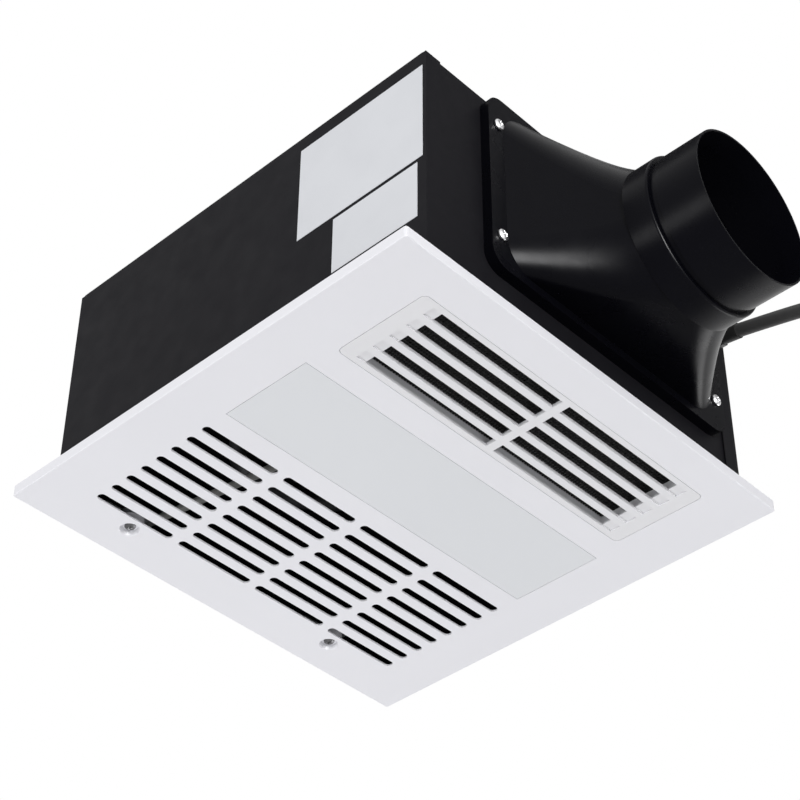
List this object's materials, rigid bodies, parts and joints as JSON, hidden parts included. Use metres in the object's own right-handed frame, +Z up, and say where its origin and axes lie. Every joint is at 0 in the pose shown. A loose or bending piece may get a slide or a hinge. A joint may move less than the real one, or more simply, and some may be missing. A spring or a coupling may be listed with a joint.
{
  "type": "ceiling exhaust fan heater light",
  "caption": "Ceiling bath unit in a black sheet housing with a white slotted panel, lamp strip, heater outlet grille, round duct collar with a flap damper, fans and a short supply lead.",
  "frame": {"origin": "middle of the ceiling fixing holes, on the ceiling plane at the upper face of the housing's fixing lips", "axes": "+Z up into the ceiling space, +X out of the duct collar, +Y away from the side wall that carries the labels"},
  "size_m": [0.4229, 0.4038, 0.17],
  "materials": {
    "black_paint": "satin black paint on folded steel sheet",
    "black_plastic": "moulded black plastic, satin",
    "dark_plastic": "moulded dark plastic",
    "zinc_screw": "bright zinc plate",
    "brass_screw": "plain brass",
    "bright_steel": "ground steel",
    "white_plastic": "moulded white plastic, satin",
    "heat_plastic": "moulded white heat-resistant plastic, satin",
    "opal_plastic": "opal diffusing plastic, unlit",
    "pale_plastic": "moulded pale plastic",
    "white_paint": "white reflecting paint",
    "lamp_board": "aluminium board with white mask",
    "lamp_chip": "yellow phosphor",
    "galvanised": "galvanised sheet",
    "black_wire": "black coated wire",
    "fin_aluminium": "plain aluminium",
    "wheel_plastic": "moulded dark grey plastic",
    "motor_paint": "dark motor paint",
    "motor_core": "stacked steel laminations",
    "black_rubber": "soft rubber",
    "gland_plastic": "moulded black nylon",
    "lead_jacket": "smooth black flexible jacket",
    "core_jacket": "coloured core insulation",
    "bare_copper": "bare stranded copper",
    "label_film": "plain pale label film, blank"
  },
  "bodies": {
    "housing": {"housing_wrap": "black_paint", "duct_wall": "black_paint", "rear_wall": "black_paint", "duct_adapter": "black_plastic", "collar_ring": "black_plastic", "adapter_screws": "zinc_screw", "grille_panel": "white_plastic", "grille_screws": "zinc_screw", "screw_brackets": "galvanised", "led_diffuser": "opal_plastic", "led_tray": "white_paint", "led_boards": "lamp_board", "led_chips": "lamp_chip", "led_driver": "pale_plastic", "heater_grille": "heat_plastic", "guard_mesh": "black_wire", "heater_box": "galvanised", "heater_bars": "fin_aluminium", "heater_fins": "fin_aluminium", "element_ends": "dark_plastic", "thermal_cutoff": "dark_plastic", "fan_casing": "galvanised", "heater_bush": "black_rubber", "heater_motor": "motor_paint", "wire_sleeve": "pale_plastic", "plenum_wall": "black_paint", "deck_plate": "black_paint", "inlet_ring": "galvanised", "scroll_band": "galvanised", "motor_stator": "motor_core", "motor_bearings": "bright_steel", "motor_shell": "motor_paint", "motor_plate": "galvanised", "motor_grommets": "black_rubber", "motor_screws": "zinc_screw", "wiring_box": "galvanised", "wiring_cover": "galvanised", "terminal_block": "pale_plastic", "earth_screw": "brass_screw", "run_capacitor": "dark_plastic", "cord_gland": "gland_plastic", "gland_nut": "gland_plastic", "supply_lead": "lead_jacket", "cord_cores": "core_jacket", "core_tips": "bare_copper", "blank_labels": "label_film"},
    "damper": {"damper_flap": "dark_plastic", "damper_pin": "bright_steel"},
    "exhaust_fan": {"exhaust_wheel": "wheel_plastic", "wheel_nut": "bright_steel", "motor_shaft": "bright_steel", "motor_rotor": "motor_core"},
    "heater_fan": {"heater_wheel": "fin_aluminium", "heater_shaft": "bright_steel"}
  },
  "joints": [
    {"name": "damper_hinge", "type": "hinge", "parent": "housing", "child": "damper", "pos_m": [0.216, 0.015, 0.0842], "axis": [0, -1, 0], "range_deg": [0, 70]},
    {"name": "exhaust_spin", "type": "hinge", "parent": "housing", "child": "exhaust_fan", "pos_m": [-0.062, 0, 0.1], "axis": [0, 0, 1], "continuous": true},
    {"name": "heater_spin", "type": "hinge", "parent": "housing", "child": "heater_fan", "pos_m": [0.028, 0, 0.041], "axis": [0, 1, 0], "continuous": true}
  ]
}
